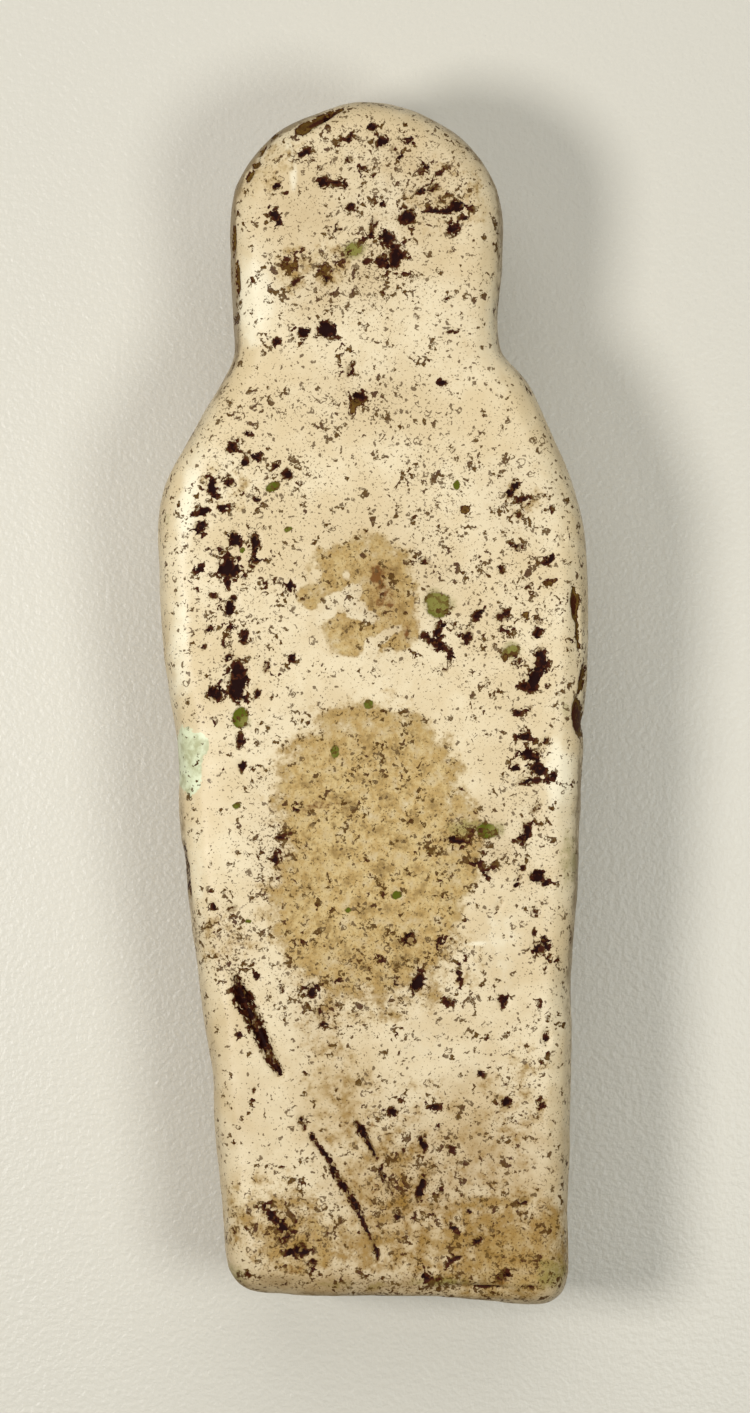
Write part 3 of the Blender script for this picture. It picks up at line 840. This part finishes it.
class FigureSettings(bpy.types.PropertyGroup):
    facet: length_setting("Facet size", "Size of the faces of the fine mesh, halved on the back", 0.66 * MM,
                          min=0.4 * MM)
    rim_softness: FloatProperty(name="Rim softness", default=0.6, min=0.4, max=1,
                                description="1 keeps the solid's round rim, less makes it crisp")
    waviness: length_setting("Waviness", "How deep the gentle hollows of the surface are", 0.28 * MM, min=0)
    pit_depth: length_setting("Pit depth", "How deep the pits in the glaze are", 0.28 * MM, min=0)
    gash_depth: length_setting("Gash depth", "How deep the gash by the shin is", 0.9 * MM, min=0)
    glaze: colour_setting("Glaze", "The cream glaze", 232, 216, 181)
    glaze_warm: colour_setting("Warm glaze", "The glaze where it is thin", 217, 196, 155)
    chalk: colour_setting("Chalky glaze", "The glaze where it is thick or scratched", 244, 233, 203)
    stain: colour_setting("Stain", "Tan stains that have soaked in", 181, 148, 85)
    stain_thin: colour_setting("Thin stain", "The stains where they are faint", 209, 184, 128)
    stain_dark: colour_setting("Dirt", "Dirt that has settled in hollows", 124, 98, 52)
    wash: colour_setting("Wash", "Brown that has spread thinly over the glaze", 136, 97, 30)
    ochre: colour_setting("Ochre", "Rusty hearts of the stains", 112, 66, 5)
    green: colour_setting("Green", "Remains of green glaze", 86, 92, 14)
    green_pale: colour_setting("Pale green", "Thin, worn green glaze", 140, 133, 70)
    olive: colour_setting("Olive", "Scraps of olive brown where glaze has flaked off an edge", 112, 84, 34)
    mint: colour_setting("Mint", "The patch of mint green glaze on the edge", 226, 232, 197)
    body: colour_setting("Body", "The brown body inside the pits", 66, 28, 12)
    body_light: colour_setting("Light body", "The body where it only shows through", 94, 68, 27)
    body_dark: colour_setting("Dark body", "The deepest parts of the pits", 30, 7, 5)


class StageSettings(bpy.types.PropertyGroup):
    view_height: length_setting("View height", "Height of the view at the figure's rim", 129.5 * MM)
    distance: length_setting("Camera distance", "From the figure's rim to the camera", 0.50)
    table_size: length_setting("Table size", "Side of the square table", 1.6)
    table: colour_setting("Table", "The pale laminate", 215, 211, 199)
    key_power: power_setting("Key light", "Power of the lamp on the left", 0.80)
    fill_power: power_setting("Fill light", "Power of the lamp on the right", 0.52)
    soft_power: power_setting("Soft light", "Power of the broad panel beyond the head", 0.66)
    sky: FloatProperty(name="Sky", description="Strength of the even light from all round", default=0.12)


class USHABTI_OT_figure(bpy.types.Operator):
    """Build the figure's fine, weathered surface in place of its plain solid"""

    bl_idname = "ushabti.figure"
    bl_label = "Figure"

    def execute(self, context):
        look = context.scene.ushabti_figure
        mesh = even_copy(NODE, look.facet)
        weather(mesh, look)
        mesh.shade_smooth()
        mesh.materials.clear()
        mesh.materials.append(faience_material(look))
        figure = bpy.data.objects.new("ushabti_surface", mesh)
        context.scene.collection.objects.link(figure)
        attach(figure, "root")
        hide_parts(NODE)
        return {"FINISHED"}


class USHABTI_OT_stage(bpy.types.Operator):
    """Lay the table, light it softly from both sides, and look straight down on the figure"""

    bl_idname = "ushabti.stage"
    bl_label = "Table, lights and camera"

    def execute(self, context):
        look = context.scene.ushabti_stage
        top = bmesh.new()
        bmesh.ops.create_grid(top, x_segments=1, y_segments=1, size=look.table_size / 2)
        mesh = bpy.data.meshes.new("table")
        top.to_mesh(mesh)
        top.free()
        mesh.materials.append(table_material(look))
        table = bpy.data.objects.new("table", mesh)
        context.scene.collection.objects.link(table)
        for name, place, size, colour in LAMPS:
            power = getattr(look, name + "_power")
            self.lamp(context, name, Vector(place), size, power, linear(*colour))
        self.sky(context, look)
        self.camera(context, look)
        return {"FINISHED"}

    @staticmethod
    def lamp(context, name, place, size, power, colour):
        light = bpy.data.lights.new(name, "AREA")
        light.shape = "DISK"
        light.size = size
        light.energy = power
        light.color = colour
        lamp = bpy.data.objects.new(name, light)
        lamp.location = place
        lamp.rotation_euler = (LIGHT_AIM - place).to_track_quat("-Z", "Y").to_euler()
        context.scene.collection.objects.link(lamp)

    @staticmethod
    def sky(context, look):
        world = bpy.data.worlds.new("room")
        world.use_nodes = True
        background = world.node_tree.nodes["Background"]
        background.inputs["Color"].default_value = (*linear(*SKY_COLOUR), 1)
        background.inputs["Strength"].default_value = look.sky
        context.scene.world = world
        context.scene.view_settings.view_transform = "Standard"

    @staticmethod
    def camera(context, look):
        lens = bpy.data.cameras.new("camera")
        lens.sensor_fit = "VERTICAL"
        lens.sensor_height = SENSOR_MM
        lens.lens = SENSOR_MM * look.distance / look.view_height
        lens.clip_start = 0.01
        camera = bpy.data.objects.new("camera", lens)
        camera.location = (CAMERA_X, CAMERA_Y, (BACK_Z - RIM_DROP) * MM + look.distance)
        context.scene.collection.objects.link(camera)
        context.scene.camera = camera


class USHABTI_PT_panel(bpy.types.Panel):
    bl_label = "Ushabti"
    bl_idname = "USHABTI_PT_panel"
    bl_space_type = "VIEW_3D"
    bl_region_type = "UI"
    bl_category = "Ushabti"

    def draw(self, context):
        for part in ("figure", "stage"):
            box = self.layout.box()
            values = getattr(context.scene, "ushabti_" + part)
            for name in values.__annotations__:
                box.prop(values, name)
            box.operator("ushabti." + part)


CLASSES = (FigureSettings, StageSettings, USHABTI_OT_figure, USHABTI_OT_stage, USHABTI_PT_panel)


def register():
    for cls in CLASSES:
        bpy.utils.register_class(cls)
    bpy.types.Scene.ushabti_figure = PointerProperty(type=FigureSettings)
    bpy.types.Scene.ushabti_stage = PointerProperty(type=StageSettings)


def unregister():
    del bpy.types.Scene.ushabti_figure
    del bpy.types.Scene.ushabti_stage
    for cls in reversed(CLASSES):
        bpy.utils.unregister_class(cls)


def main():
    register()
    bpy.ops.ushabti.figure()
    bpy.ops.ushabti.stage()


if __name__ == "__main__":
    main()
